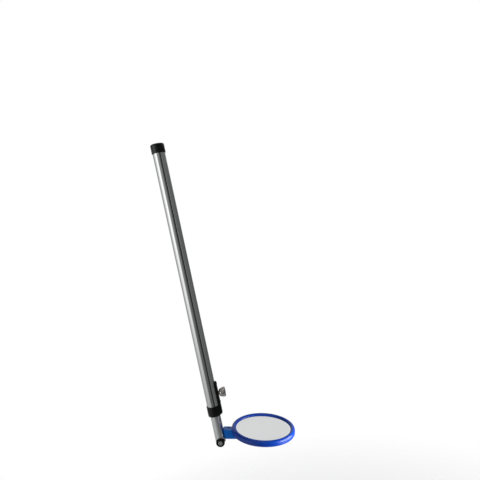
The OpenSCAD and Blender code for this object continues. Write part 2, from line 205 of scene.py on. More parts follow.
def lathe(outline, angles, closed=False, warp=None):
    """Turns an outline of (radius, height) points about Z. warp(radius, height, angle) may bend it."""
    shape = bmesh.new()
    rings = []
    for radius, height in outline:
        if radius < 1e-6:
            rings.append([shape.verts.new((0, 0, height))])
            continue
        ring = []
        for angle in angles:
            r, z = warp(radius, height, angle) if warp else (radius, height)
            ring.append(shape.verts.new((r * math.cos(angle), r * math.sin(angle), z)))
        rings.append(ring)
    pairs = list(zip(rings, rings[1:]))
    if closed:
        pairs.append((rings[-1], rings[0]))
    count = len(angles)
    for low, high in pairs:
        for i in range(count):
            j = (i + 1) % count
            corners = [low[i % len(low)], low[j % len(low)], high[j % len(high)], high[i % len(high)]]
            shape.faces.new(list(dict.fromkeys(corners)))
    bmesh.ops.recalc_face_normals(shape, faces=shape.faces)
    return shape


def slab(outline, low, high, edge=0.0, steps=3):
    """An outline of (x, y) points between two heights, with its two end edges rounded."""
    shape = bmesh.new()
    base = shape.faces.new([shape.verts.new((x, y, low)) for x, y in outline])
    made = bmesh.ops.extrude_face_region(shape, geom=[base])["geom"]
    top = [part for part in made if isinstance(part, bmesh.types.BMVert)]
    bmesh.ops.translate(shape, verts=top, vec=(0, 0, high - low))
    bmesh.ops.recalc_face_normals(shape, faces=shape.faces)
    if edge > 0:
        ends = [e for e in shape.edges if abs(e.verts[0].co.z - e.verts[1].co.z) < 1e-6]
        bmesh.ops.bevel(shape, geom=ends, offset=edge, segments=steps, profile=0.5, affect="EDGES")
    return shape


def rod(radius, low, high, steps=48):
    """A plain round bar, to cut with."""
    return lathe([(0, low), (radius, low), (radius, high), (0, high)], even(steps))


def hexagon(across):
    return arc(0, 0, across / math.sqrt(3), 0, 300, 5)


def solid(shape, place, name="tool"):
    """A mesh object of a shape, put in its place."""
    shape.transform(place)
    bmesh.ops.recalc_face_normals(shape, faces=shape.faces)
    mesh = bpy.data.meshes.new(name)
    shape.to_mesh(mesh)
    shape.free()
    made = bpy.data.objects.new(name, mesh)
    bpy.context.scene.collection.objects.link(made)
    return made


def merge(base, operation, *tools):
    """Adds tools to base, cuts them from it, or keeps what they share, and removes the tools."""
    for tool in tools:
        step = base.modifiers.new(operation, "BOOLEAN")
        step.operation = operation
        step.solver = "EXACT"
        step.object = tool
    bpy.context.view_layer.update()
    graph = bpy.context.evaluated_depsgraph_get()
    mesh = bpy.data.meshes.new_from_object(base.evaluated_get(graph))
    base.modifiers.clear()
    base.data = mesh
    for tool in tools:
        bpy.data.objects.remove(tool)
    return base


def piece(name, made, finish, body, slot, *nodes, crease=32):
    """Names a finished solid, paints it, shades it smooth between creases and sets it in the frame."""
    made.name = name
    made.data.name = name
    made.data.materials.clear()
    made.data.materials.append(finish)
    for face in made.data.polygons:
        face.use_smooth = True
    made.data.set_sharp_from_angle(angle=math.radians(crease))
    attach(made, body)
    if nodes:
        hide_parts(*nodes)
    return made


# ---- finishes ------------------------------------------------------------------------------------

def add_node(tree, kind, sockets=(), **settings):
    """A shader node, with a value or a link on each socket that is named."""
    made = tree.nodes.new("ShaderNode" + kind)
    for label, value in settings.items():
        setattr(made, label, value)
    for label, value in dict(sockets).items():
        if isinstance(value, bpy.types.NodeSocket):
            tree.links.new(value, made.inputs[label])
        else:
            made.inputs[label].default_value = value
    return made


class Finish:
    """One procedural material: a Principled shader, and the textures that vary it."""

    def __init__(self, name, **sockets):
        self.material = bpy.data.materials.new(name)
        self.material.use_nodes = True
        self.tree = self.material.node_tree
        self.shader = self.tree.nodes["Principled BSDF"]
        for label, value in sockets.items():
            self.shader.inputs[label.replace("_", " ")].default_value = value

    def node(self, kind, sockets=(), **settings):
        return add_node(self.tree, kind, sockets, **settings)

    def where(self, scale=(1, 1, 1), origin=(0, 0, 0)):
        """Object coordinates in metres from an origin, stretched by scale."""
        place = self.node("TexCoord").outputs["Object"]
        moved = self.node("VectorMath", {0: place, 1: origin}, operation="SUBTRACT").outputs[0]
        return self.node("Mapping", {"Vector": moved, "Scale": scale}).outputs[0]

    def noise(self, where, scale, detail=3.0, roughness=0.5):
        sockets = {"Vector": where, "Scale": scale, "Detail": detail, "Roughness": roughness}
        return self.node("TexNoise", sockets).outputs["Fac"]

    def cells(self, where, scale):
        return self.node("TexVoronoi", {"Vector": where, "Scale": scale}).outputs["Distance"]

    def spread(self, value, start, end, low, high):
        sockets = {"Value": value, "From Min": start, "From Max": end, "To Min": low, "To Max": high}
        return self.node("MapRange", sockets).outputs["Result"]

    def shade(self, value, dark, light, start=0.3, end=0.7):
        """A colour between dark and light as value goes from start to end."""
        made = self.node("ValToRGB", {"Fac": value})
        first, second = made.color_ramp.elements
        first.position, second.position = start, end
        first.color, second.color = (*dark, 1), (*light, 1)
        return made.outputs["Color"]

    def blend(self, factor, under, over):
        """The colour under, going over to a fixed colour as factor goes to 1."""
        return self.node("Mix", {0: factor, 6: under, 7: (*over, 1)}, data_type="RGBA").outputs[2]

    def plus(self, first, second, operation="ADD"):
        return self.node("Math", {0: first, 1: second}, operation=operation).outputs[0]

    def colour(self, value):
        self.tree.links.new(value, self.shader.inputs["Base Color"])

    def rough(self, value):
        self.tree.links.new(value, self.shader.inputs["Roughness"])

    def relief(self, height, depth, strength=1.0, under=None):
        """Bumps of up to depth metres."""
        sockets = {"Height": height, "Distance": depth, "Strength": strength}
        if under:
            sockets["Normal"] = under
        made = self.node("Bump", sockets).outputs["Normal"]
        self.tree.links.new(made, self.shader.inputs["Normal"])
        return made


def painted_groove_shade(finish):
    """1 in the long groove, where the groove's shade is painted dark, and 0 elsewhere."""
    turned = finish.node("Mapping", {"Vector": finish.where(), "Rotation": (0, 0, -GROOVE_BEARING)})
    along, across, _ = finish.node("SeparateXYZ", {0: turned.outputs[0]}).outputs
    left = finish.spread(across, -2.1 * MM, -1.6 * MM, 0.0, 1.0)
    right = finish.spread(across, 1.5 * MM, 1.8 * MM, 1.0, 0.0)
    front = finish.spread(along, 0.0, 1 * MM, 0.0, 1.0)
    return finish.plus(finish.plus(left, right, "MULTIPLY"), front, "MULTIPLY")


def drawn_aluminium(name, dark, light, gloss, grooved=False):
    """Tube drawn lengthways: fine lines along Z, smudges from handling, and a few scuffs."""
    finish = Finish(name, Metallic=1.0)
    lines = finish.noise(finish.where((1, 1, 0.004)), 1400, 4)
    bands = finish.noise(finish.where((1, 1, 0.01)), 260, 2)
    smudge = finish.noise(finish.where((1, 1, 0.35)), 34, 4)
    scuff = finish.noise(finish.where((0.25, 0.25, 1)), 900, 2, 0.8)
    drawn = finish.shade(finish.plus(lines, bands, "MULTIPLY"), dark, light, 0.12, 0.4)
    # On a grooved tube the groove is painted near black: painted shade in the groove.
    finish.colour(finish.blend(painted_groove_shade(finish), drawn, (0.10, 0.102, 0.096)) if grooved else drawn)
    streaked = finish.spread(bands, 0.3, 0.7, gloss * 0.75, gloss * 1.25)
    finish.rough(finish.plus(streaked, finish.spread(smudge, 0.45, 0.75, 0.0, 0.09)))
    fine = finish.relief(lines, 0.000012, 0.5)
    finish.relief(finish.spread(scuff, 0.68, 0.74, 0.0, 1.0), 0.00001, 0.25, fine)
    return finish.material


def black_plastic(name, gloss, sheen, grain):
    """Moulding with a faint grain, rubbed a little brighter and duller in patches."""
    finish = Finish(name, Specular_IOR_Level=sheen)
    here = finish.where()
    smudge = finish.noise(here, 70, 4)
    speck = finish.noise(here, 1500, 2, 0.6)
    finish.colour(finish.shade(smudge, (0.0015, 0.0016, 0.0016), (0.0035, 0.0036, 0.0037)))
    finish.rough(finish.spread(smudge, 0.3, 0.7, gloss, gloss + 0.08))
    finish.relief(speck, grain, 0.5)
    return finish.material


def blue_plastic(name, dark, light, gloss):
    """Glossy through-coloured moulding: flow shading, slight orange peel, hairline handling marks."""
    finish = Finish(name, Specular_IOR_Level=0.3)
    here = finish.where()
    flow = finish.noise(here, 22, 3)
    peel = finish.noise(here, 620, 2)
    hair = finish.noise(finish.where((0.3, 1, 1)), 1700, 2, 0.7)
    finish.colour(finish.shade(flow, dark, light))
    finish.rough(finish.spread(hair, 0.35, 0.75, gloss, gloss + 0.1))
    finish.relief(peel, 0.00001, 0.12)
    return finish.material


def silvered_glass(name, centre, edge):
    """Mirror with a little dust and wiping haze, and a pale band from edge mm outwards: a ground edge,
    painted brighter as the edge's glint.
    """
    finish = Finish(name, Metallic=1.0)
    haze = finish.noise(finish.where((1, 0.4, 1)), 26, 4)
    dust = finish.cells(finish.where(), 420)
    glass = finish.shade(haze, (0.88, 0.885, 0.885), (0.92, 0.925, 0.925))
    off = finish.node("VectorMath", {0: finish.where(origin=centre)}, operation="LENGTH").outputs["Value"]
    # The pale band is partly the ground edge and partly a painted glint round the mirror's rim.
    ground = finish.spread(off, (edge - 0.3) * MM, edge * MM, 0.0, 1.0)
    finish.colour(finish.blend(ground, glass, (0.98, 1.0, 1.0)))
    hazy = finish.spread(haze, 0.4, 0.75, 0.012, 0.05)
    specks = finish.spread(dust, 0.0, 0.06, 0.12, 0.0)
    finish.rough(finish.plus(hazy, specks))
    return finish.material


def turned_metal(name, dark, light, gloss, origin):
    """Plated turned part: tool rings round its own X axis, and soft blotches in the plating."""
    finish = Finish(name, Metallic=1.0)
    here = finish.where(origin=origin)
    sockets = {"Vector": here, "Scale": 900, "Distortion": 0.4, "Detail": 1.0}
    rings = finish.node("TexWave", sockets, wave_type="RINGS", rings_direction="X").outputs["Fac"]
    blotch = finish.noise(here, 160, 4)
    finish.colour(finish.shade(blotch, dark, light))
    finish.rough(finish.spread(blotch, 0.3, 0.7, gloss, gloss + 0.12))
    finish.relief(rings, 0.000008, 0.4)
    return finish.material


def plated_steel(name, dark, light, gloss):
    """Small hardware: spangled plating, with rubbed brighter spots."""
    finish = Finish(name, Metallic=1.0)
    here = finish.where()
    spangle = finish.cells(here, 900)
    blotch = finish.noise(here, 240, 4)
    finish.colour(finish.shade(blotch, dark, light))
    finish.rough(finish.plus(finish.spread(blotch, 0.3, 0.7, gloss, gloss + 0.12),
                             finish.spread(spangle, 0.0, 0.8, 0.0, 0.08)))
    finish.relief(finish.noise(here, 1800, 3), 0.00001, 0.4)
    return finish.material


def dull_moulding(name, dark, light, gloss, grain):
    """Nylon or rubber: an even matt skin with a fine grain."""
    finish = Finish(name, Specular_IOR_Level=0.4)
    here = finish.where()
    patch = finish.noise(here, 120, 3)
    finish.colour(finish.shade(patch, dark, light))
    finish.rough(finish.spread(patch, 0.3, 0.7, gloss, gloss + 0.15))
    finish.relief(finish.noise(here, 900, 3, 0.6), grain, 0.6)
    return finish.material


def cell_foam(name):
    """Closed-cell foam sheet: round open cells in its cut face."""
    finish = Finish(name, Specular_IOR_Level=0.2)
    here = finish.where()
    cell = finish.cells(here, 700)
    # The open cells are painted darker towards their middles: painted shade in the pits.
    finish.colour(finish.shade(cell, (0.03, 0.03, 0.035), (0.09, 0.09, 0.1), 0.1, 0.6))
    finish.rough(finish.spread(cell, 0.0, 0.7, 0.95, 0.8))
    finish.relief(cell, 0.0002, 0.8)
    return finish.material


screw_line = (0, 0, screw_z)
anodised = drawn_aluminium("anodised_tube", (0.60, 0.61, 0.60), (0.76, 0.77, 0.765), 0.17, True)
satin = drawn_aluminium("inner_aluminium", (0.58, 0.59, 0.59), (0.72, 0.73, 0.73), 0.33)
black = black_plastic("black_moulding", 0.3, 0.25, 0.00003)
cap_black = black_plastic("cap_black", 0.08, 0.4, 0.000006)
blue = blue_plastic("blue_moulding", (0.001, 0.034, 0.28), (0.002, 0.046, 0.36), 0.24)
# The arm and lug get a lighter copy of the rim's blue moulding: painted light on the arm block.
arm_blue_painted_lighter = blue_plastic("arm_blue_painted_lighter", (0.001, 0.15, 0.62), (0.002, 0.18, 0.74), 0.25)
silver = silvered_glass("mirror_face", disc @ Vector((0, 0, PANE_EDGE)), GROUND_AND_GLINT_FROM)
nickel = turned_metal("plated_knob", (0.38, 0.36, 0.34), (0.50, 0.48, 0.45), 0.14, screw_line)
zinc = plated_steel("zinc_steel", (0.36, 0.37, 0.375), (0.50, 0.51, 0.52), 0.26)
oiled = plated_steel("spring_steel", (0.05, 0.05, 0.052), (0.10, 0.10, 0.105), 0.32)
brass = turned_metal("brass", (0.55, 0.38, 0.14), (0.70, 0.51, 0.20), 0.25, screw_line)
nylon = dull_moulding("white_nylon", (0.62, 0.60, 0.53), (0.74, 0.72, 0.65), 0.4, 0.00002)
rubber = dull_moulding("rubber_washer", (0.010, 0.010, 0.010), (0.022, 0.022, 0.022), 0.6, 0.00004)
foam = cell_foam("foam")


# ---- handle --------------------------------------------------------------------------------------

def handle_tube():
    """The outer tube: one groove along it, and shallow drawn flutes all round."""
    flutes, flute_depth = 22, 0.07
    edge, rows, facets = 0.3, 24, 300
    centre = OUTER_R + GROOVE_R - GROOVE_DEPTH
    half = math.radians(8)
    steps = 36

    def off(angle):
        return (angle - GROOVE_BEARING + math.pi) % (2 * math.pi) - math.pi

    in_groove = [(GROOVE_BEARING + half * (2 * i / steps - 1)) % (2 * math.pi) for i in range(steps + 1)]
    angles = sorted([a for a in even(facets) if abs(off(a)) > half] + in_groove)

    def warp(radius, height, angle):
        if radius < OUTER_R - 2 * edge:
            return radius, height
        radius -= flute_depth * (0.5 - 0.5 * math.cos(flutes * off(angle)))
        side = centre * math.sin(off(angle))
        if abs(side) < GROOVE_R and math.cos(off(angle)) > 0:
            radius = min(radius, centre * math.cos(off(angle)) - math.sqrt(GROOVE_R ** 2 - side ** 2))
        return radius, height

    low, high = outer_low.z, outer_high.z
    stations = [low + edge + (high - low - 2 * edge) * i / rows for i in range(rows + 1)]
    outside = [(OUTER_R, z) for z in stations]
    outline = [(OUTER_R - edge, low)] + outside + [(OUTER_R - edge, high), (BORE_R, high), (BORE_R, low)]
    tube = solid(lathe(outline, angles, closed=True, warp=warp), pole)
    piece("handle_tube", tube, anodised, "handle", "anodised_tube", "outer_tube", crease=40)


def butt_cap():
    """Moulded cap with a soft top edge, a shallow dish in the butt and a gate mark in it."""
    low, high = cap_low.z, cap_high.z
    inside, draft = OUTER_R + 0.02, 0.12
    dish_r, gate_r = 9.5, 1.6
    ceiling, dish, gate = high - CAP_TOP, high - 0.5, high - 0.15
    outline = rounded([
        (0, ceiling, 0),
        (inside, ceiling, 0.4),
        (inside, low, 0.25),
        (CAP_R, low, 0.7),
        (CAP_R - draft, high, 4.2),
        (dish_r, high, 0.5),
        (dish_r - 0.5, dish, 0.5),
        (gate_r, dish, 0.2),
        (gate_r - 0.1, gate, 0.15),
        (0, gate, 0),
    ], steps=8)
    cap = solid(lathe(outline, even(160)), pole)
    piece("butt_cap", cap, cap_black, "handle", "black_moulding", "end_cap")


def clamp_moulding():
    """Collar, tongue and screw boss in one moulding, bored for the tubes and the insert."""
    low = collar_low.z
    top = low + COLLAR_H
    collar = lathe(rounded([
        (0, low, 0), (COLLAR_R, low, 1.6), (COLLAR_R, top, 0.7), (0, top, 0),
    ]), even(144))
    half = TONGUE_W / 2
    tip = collar_high.z
    tongue = [(half, low + 2), (half, tip - half)] + arc(0, tip - half, half, 0, 180, 28)[1:-1]
    tongue += [(-half, tip - half), (-half, low + 2)]
    boss_face = collar_high.x
    boss = lathe(rounded([
        (0, BOSS_BACK, 0), (BOSS_R, BOSS_BACK, 0), (BOSS_R, boss_face, 0.9), (0, boss_face, 0),
    ]), even(64))
    bore = lathe([
        (0, low - 2), (LIP_BORE_R, low - 2), (LIP_BORE_R, outer_low.z), (OUTER_R + 0.01, outer_low.z),
        (OUTER_R + 0.01, tip + 5), (0, tip + 5),
    ], even(144))
    made = solid(collar, pole)
    merge(made, "UNION", solid(slab(tongue, TONGUE_BACK, TONGUE_FACE, 0.9, 4), pole_side))
    merge(made, "UNION", solid(boss, clamp))
    merge(made, "DIFFERENCE", solid(bore, pole), solid(rod(INSERT_R, BOSS_BACK - 2, boss_face + 5), clamp))
    piece("clamp_moulding", made, black, "handle", "black_moulding", "clamp_collar")


# ---- clamp screw ---------------------------------------------------------------------------------

def knob():
    """Thumb knob turned from bar: a flared throat, a knurled rim and a dished face."""
    neck, face, rim_r = knob_low.x, knob_high.x, knob_high.y
    rim, bowl = face - KNOB_RIM, neck + 0.8
    teeth, tooth, steps = 60, 0.08, 14
    dish_r, stud_r, dish = 9.2, 2.4, face - 1.2
    flare = rim_r - 1.2 - KNOB_NECK_R
    turns = [math.pi / 2 * i / steps for i in range(steps + 1)]
    throat = [(KNOB_NECK_R + flare * math.sin(a), bowl + (rim - bowl) * (1 - math.cos(a))) for a in turns]
    outline = [(0, neck), (KNOB_NECK_R - 0.3, neck), (KNOB_NECK_R, neck + 0.3)] + throat
    outline += rounded([
        (throat[-1][0], rim, 0), (rim_r - 0.7, rim + 0.2, 0.3), (rim_r, rim + 0.9, 0.3),
        (rim_r, face - 0.9, 0.3), (rim_r - 0.9, face, 0.4), (dish_r, face, 0.4),
        (dish_r - 1.4, dish, 0.6), (stud_r, dish, 0.1), (0, dish, 0),
    ], steps=4)[1:]

    def knurl(radius, height, angle):
        if radius < rim_r - 0.4:
            return radius, height
        wave = 0.5 - 0.5 * math.cos(teeth * angle)
        return radius - tooth * wave, height

    made = solid(lathe(outline, even(teeth * 8), warp=knurl), clamp)
    piece("turned_knob", made, nickel, "thumb_screw", "plated_knob", "thumb_knob", crease=45)


# ---- sliding pole --------------------------------------------------------------------------------

def pole_tube():
    """The inner tube: its low end is coped to sit over the cross barrel, and the pin crosses it."""
    low, high = inner_low.z, inner_high.z
    cope, edge, rows = BARREL_R + 0.02, 0.4, 24
    stations = [low + (high - low) * (i / rows) ** 2 for i in range(rows + 1)]

    def fit(radius, height, angle):
        across = abs(INNER_R * math.cos(angle))
        if height < cope + 2 and across < cope:
            floor = math.sqrt(cope * cope - across * across)
            height = max(height, floor)
        return radius, height

    outside = [(INNER_R, z) for z in stations]
    outline = outside[:-1] + [(INNER_R, high - edge), (INNER_R - edge, high)]
    outline += [(INNER_BORE_R, z) for z in reversed(stations)]
    tube = solid(lathe(outline, even(240), closed=True, warp=fit), pole)
    across_tube = pole @ Matrix.Translation((0, 0, PIN_HIGH)) @ along_x
    merge(tube, "DIFFERENCE", solid(rod(PIN_R, -20, 20), across_tube))
    piece("pole_tube", tube, satin, "inner_pole", "inner_aluminium", "inner_tube", crease=40)


# ---- hinge ---------------------------------------------------------------------------------------

def hinge_barrel():
    """Black plug in the tube's end with a cross barrel, recessed at the front for the bolt head."""
    front, back = tee_low.y, tee_high.y
    outline = rounded([
        (BOLT_R + 0.1, front + RECESS_DEPTH, 0),
        (RECESS_R, front + RECESS_DEPTH, 0.3),
        (RECESS_R, front, 0.5),
        (BARREL_R, front, 1.0),
        (BARREL_R, back, 0.3),
        (BOLT_R + 0.1, back, 0.2),
    ], loop=True, steps=6)
    barrel = solid(lathe(outline, even(120), closed=True), hinge)
    plug = rod(INNER_BORE_R - 0.03, PLUG_LOW, PLUG_HIGH, 96)
    hollow = rod(BOLT_R + 0.1, front - 20, back + 20)
    merge(barrel, "UNION", solid(plug, pole))
    merge(barrel, "DIFFERENCE", solid(hollow, hinge))
    piece("hinge_barrel", barrel, black, "inner_pole", "black_moulding", "tee_fitting")


def chamfered_hexagon(low, high, chamfer_low, chamfer_high):
    """A hexagon bar whose corners are turned off at either end."""
    corner = HEX_AF / math.sqrt(3)
    flat = HEX_AF / 2 * 0.97
    drop = (corner - flat) * math.tan(math.radians(30))
    outline = [(0, low)]
    outline += [(flat, low), (corner + 0.01, low + drop)] if chamfer_low else [(corner + 1, low)]
    outline += [(corner + 0.01, high - drop), (flat, high)] if chamfer_high else [(corner + 1, high)]
    outline += [(0, high)]
    bar = solid(slab(hexagon(HEX_AF), low - 1, high + 1), hinge)
    return merge(bar, "INTERSECT", solid(lathe(outline, even(96)), hinge))


def thread(radius, low, high, pitch=1.0):
    """A threaded end: ring after ring of 60 degree crests."""
    count = int((high - low) / pitch * 2)
    depth = 0.3 * pitch
    crests = [(radius - (depth if i % 2 else 0), low + i * pitch / 2) for i in range(count)]
    return crests + [(radius, high - 0.5), (radius - 0.5, high)]


def hinge_screw():
    """Hexagon-head bolt with a shallow dish in its head, a plain shank and a threaded end."""
    low, seat, end = bolt_low.y, bolt_low.y + HEAD_H, bolt_high.y
    bolt = chamfered_hexagon(low, seat, True, False)
    dish_r, floor_r, deep = 3.2, 2.7, low + 0.35
    dish = lathe(rounded([(0, low - 1, 0), (dish_r, low - 1, 0), (floor_r, deep, 0.3), (0, deep, 0)]),
                 even(48))
    merge(bolt, "DIFFERENCE", solid(dish, hinge))
    outline = [(0, low + 1), (BOLT_R, low + 1)] + thread(BOLT_R, end - THREAD_LEN, end) + [(0, end)]
    merge(bolt, "UNION", solid(lathe(outline, even(48)), hinge))
    piece("hinge_screw", bolt, zinc, "inner_pole", "zinc_steel", "hinge_bolt", crease=25)


def locking_nut():
    """Nut with a nylon locking ring crimped into its collar."""
    low, high = nut_low.y, nut_high.y
    shoulder, groove = high - 1.5, high - 0.4
    collar_r, mouth_r, ring_r = 4.6, 3.5, 3.45
    nut = chamfered_hexagon(low, shoulder, True, True)
    collar = rounded([
        (BOLT_R, low, 0), (collar_r - 0.2, low, 0), (collar_r, shoulder + 0.8, 0.3),
        (collar_r - 0.4, high, 0.4), (mouth_r, high, 0.1), (mouth_r - 0.1, groove, 0), (BOLT_R, groove, 0),
    ], loop=True, steps=4)
    merge(nut, "UNION", solid(lathe(collar, even(64), closed=True), hinge))
    merge(nut, "DIFFERENCE", solid(rod(BOLT_R + 0.02, low - 2, high + 2), hinge))
    piece("locking_nut", nut, zinc, "inner_pole", "zinc_steel", "lock_nut", crease=25)
    ring = rounded([
        (BOLT_R + 0.03, groove, 0), (ring_r, groove, 0), (ring_r, high - 0.12, 0.1),
        (BOLT_R + 0.03, high - 0.18, 0),
    ], loop=True)
    made = solid(lathe(ring, even(64), closed=True), hinge)
    piece("nut_lock_ring", made, nylon, "inner_pole", "white_nylon")


# ---- arm -----------------------------------------------------------------------------------------

def lug_plate():
    """The lug behind the tube: it turns on the bolt and carries a tenon into the arm."""
    plate = [(x, y, 0) for x, y in arc(0, 0, LUG_R, -50, -230, 48)]
    plate += [(8, BLOCK_TOP - 3, 4), (25, BLOCK_TOP - 3, 2), (25, BLOCK_LOW + 1, 3)]
    lug = solid(slab(rounded(plate, loop=True), LUG_FRONT, lug_back, 0.8), head_side)
    tenon = slab(TENON, LUG_FRONT - 12, LUG_FRONT + 1)
    merge(lug, "UNION", solid(tenon, head_side))
    merge(lug, "DIFFERENCE", solid(rod(LUG_BUSH_R, 5, 30, 64), hinge))
    piece("lug_plate", lug, arm_blue_painted_lighter, "mirror_head", "blue_moulding", "pivot_lug")


def arm_moulding():
    """The arm: a block beside the pole that thins to a rounded foot under the shell."""
    near = INNER_R + 0.6
    end = DISC_REACH - DISC_R + 5
    knee = end + 7
    foot = (near - BLOCK_LOW * math.sin(DROOP)) / math.cos(DROOP)
    brow = (near - BLOCK_TOP * math.sin(DROOP)) / math.cos(DROOP)
    side = rounded([
        (foot, BLOCK_LOW, 1.5), (knee, BLOCK_LOW, 6), (ARM_END, ARM_TIP_LOW, 2), (ARM_END, RIM_LOW, 0),
        (end, RIM_LOW, 0), (end, BLOCK_TOP, 0), (brow, BLOCK_TOP, 1.5),
    ], loop=True)
    arm = solid(slab(side, BLOCK_FRONT, BLOCK_BACK, 1.0, 4), head_side)
    middle = (BLOCK_FRONT + BLOCK_BACK) / 2
    plan = arc(ARM_END - ARM_END_R, middle, ARM_END_R, 90, -90, 40)
    plan += [(0, middle - ARM_END_R), (0, middle + ARM_END_R)]
    merge(arm, "INTERSECT", solid(slab(plan, 0, 40), head))
    screw_u, screw_y = ARM_SCREW
    over_screw = head @ Matrix.Translation((screw_u, screw_y, 0))
    floor_r, mouth_r, deep, above = 3.7, 4.3, BLOCK_TOP - 2.6, BLOCK_TOP + 3
    pocket = lathe(rounded([
        (0, deep, 0), (floor_r, deep, 0), (floor_r + 0.05, BLOCK_TOP - 0.5, 0.2),
        (mouth_r, BLOCK_TOP + 0.2, 0), (mouth_r, above, 0), (0, above, 0),
    ]), even(48))
    merge(arm, "DIFFERENCE", solid(pocket, over_screw))
    rim = rod(DISC_R + 0.1, RIM_LOW, RIM_LOW + 20, 256)
    merge(arm, "DIFFERENCE", solid(rim, disc))
    for u, y in MOUNT_SCREWS:
        spot = head @ Matrix.Translation((u, y, 0))
        merge(arm, "DIFFERENCE", solid(rod(POCKET_R, 0, MOUNT_SEAT), spot))
        merge(arm, "DIFFERENCE", solid(rod(MOUNT_HOLE_R, MOUNT_SEAT - 1, 40), spot))
    piece("arm_moulding", arm, arm_blue_painted_lighter, "mirror_head", "blue_moulding", "arm_block")


# ---- mirror head ---------------------------------------------------------------------------------

def around_disc(index):
    turn = math.radians((index + 0.5) * 360 / SHELL_SCREWS)
    return disc @ Matrix.Rotation(turn, 4, "Z") @ Matrix.Translation((SHELL_SCREW_AT, 0, 0))


def shell_tray():
    """The lower half of the rim: a tray with a soft edge, and a pocket for each bezel screw."""
    outline = rounded([
        (0, RIM_LOW, 0), (DISC_R, RIM_LOW, SHELL_EDGE), (DISC_R, SEAT - 0.05, 0.25),
        (DISH_R, SEAT - 0.05, 0), (DISH_R, FLOOR, 1.0), (0, FLOOR, 0),
    ], steps=8)
    tray = solid(lathe(outline, even(240)), disc)
    mouth_r, below, deep = POCKET_R + 0.4, RIM_LOW - 2, RIM_LOW + 2.2
    for index in range(SHELL_SCREWS):
        pocket = lathe(rounded([
            (0, below, 0), (mouth_r, below, 0), (mouth_r, RIM_LOW - 0.1, 0),
            (POCKET_R, RIM_LOW + 0.4, 0.2), (POCKET_R, deep, 0), (0, deep, 0),
        ]), even(40))
        merge(tray, "DIFFERENCE", solid(pocket, around_disc(index)))
    piece("shell_tray", tray, blue, "mirror_head", "blue_moulding", "back_shell")


def rim_bezel():
    """The half-round ring that laps the mirror's edge."""
    middle_r, middle_w = DISC_R - RIM_TOP_R, RIM_TOP - RIM_TOP_R
    end = 180 - math.degrees(math.asin((LIP + 0.25 - middle_w) / RIM_TOP_R))
    crest = arc(middle_r, middle_w, RIM_TOP_R, 0, end, 36)
    inner_r, inner_w = crest[-1]
    outline = [(PANE_R + 0.1, SEAT + 0.05), (DISC_R - 0.25, SEAT + 0.05), (DISC_R, SEAT + 0.3)]
    outline += crest + [(inner_r - 0.02, inner_w - 0.15), (inner_r + 0.15, LIP), (PANE_R + 0.1, LIP)]
    bezel = solid(lathe(outline, even(288), closed=True), disc)
    piece("rim_bezel", bezel, blue, "mirror_head", "blue_moulding", "bezel")


def mirror_glass():
    """The slightly domed mirror, with a ground edge."""
    ball = (PANE_R ** 2 + CROWN ** 2) / (2 * CROWN)
    centre = PANE_EDGE + CROWN - ball
    radii = [PANE_R * i / 40 for i in range(40)] + [PANE_R - 0.3]
    front = [(r, centre + math.sqrt(ball ** 2 - r * r)) for r in radii]
    back = [(r, centre + math.sqrt((ball - PANE_T) ** 2 - r * r)) for r in reversed(radii)]
    edge = [(PANE_R, front[-1][1] - 0.3), (PANE_R, back[0][1] + 0.3)]
    glass = solid(lathe(front + edge + back, even(240)), disc)
    piece("mirror_glass", glass, silver, "mirror_head", "mirror_face", "mirror_pane", crease=20)


def foam_disc():
    """Foam behind the mirror, pressed a little uneven, with room for the three bosses."""
    size, low, high = DISH_R - 0.5, FLOOR, SEAT
    boss_r, bump, rows = 4.2, 9, 24
    rings = [size * i / rows for i in range(1, rows + 1)]
    top = [(r, high) for r in reversed(rings)] + [(0, high)]

    def press(radius, height, angle):
        if height < high:
            return radius, height
        spot = Vector((radius * math.cos(angle), radius * math.sin(angle), 0)) / bump
        return radius, height - 0.25 - 0.2 * noise.noise(spot)

    pad = solid(lathe([(0, low), (size, low), (size, low + 2)] + top, even(120), warp=press), disc)
    for u, y in MOUNT_SCREWS:
        boss = rod(boss_r, low - 2, high + 2)
        merge(pad, "DIFFERENCE", solid(boss, head @ Matrix.Translation((u, y, 0))))
    piece("foam_disc", pad, foam, "mirror_head", "foam", "foam_pad")


# ---- the studio ----------------------------------------------------------------------------------

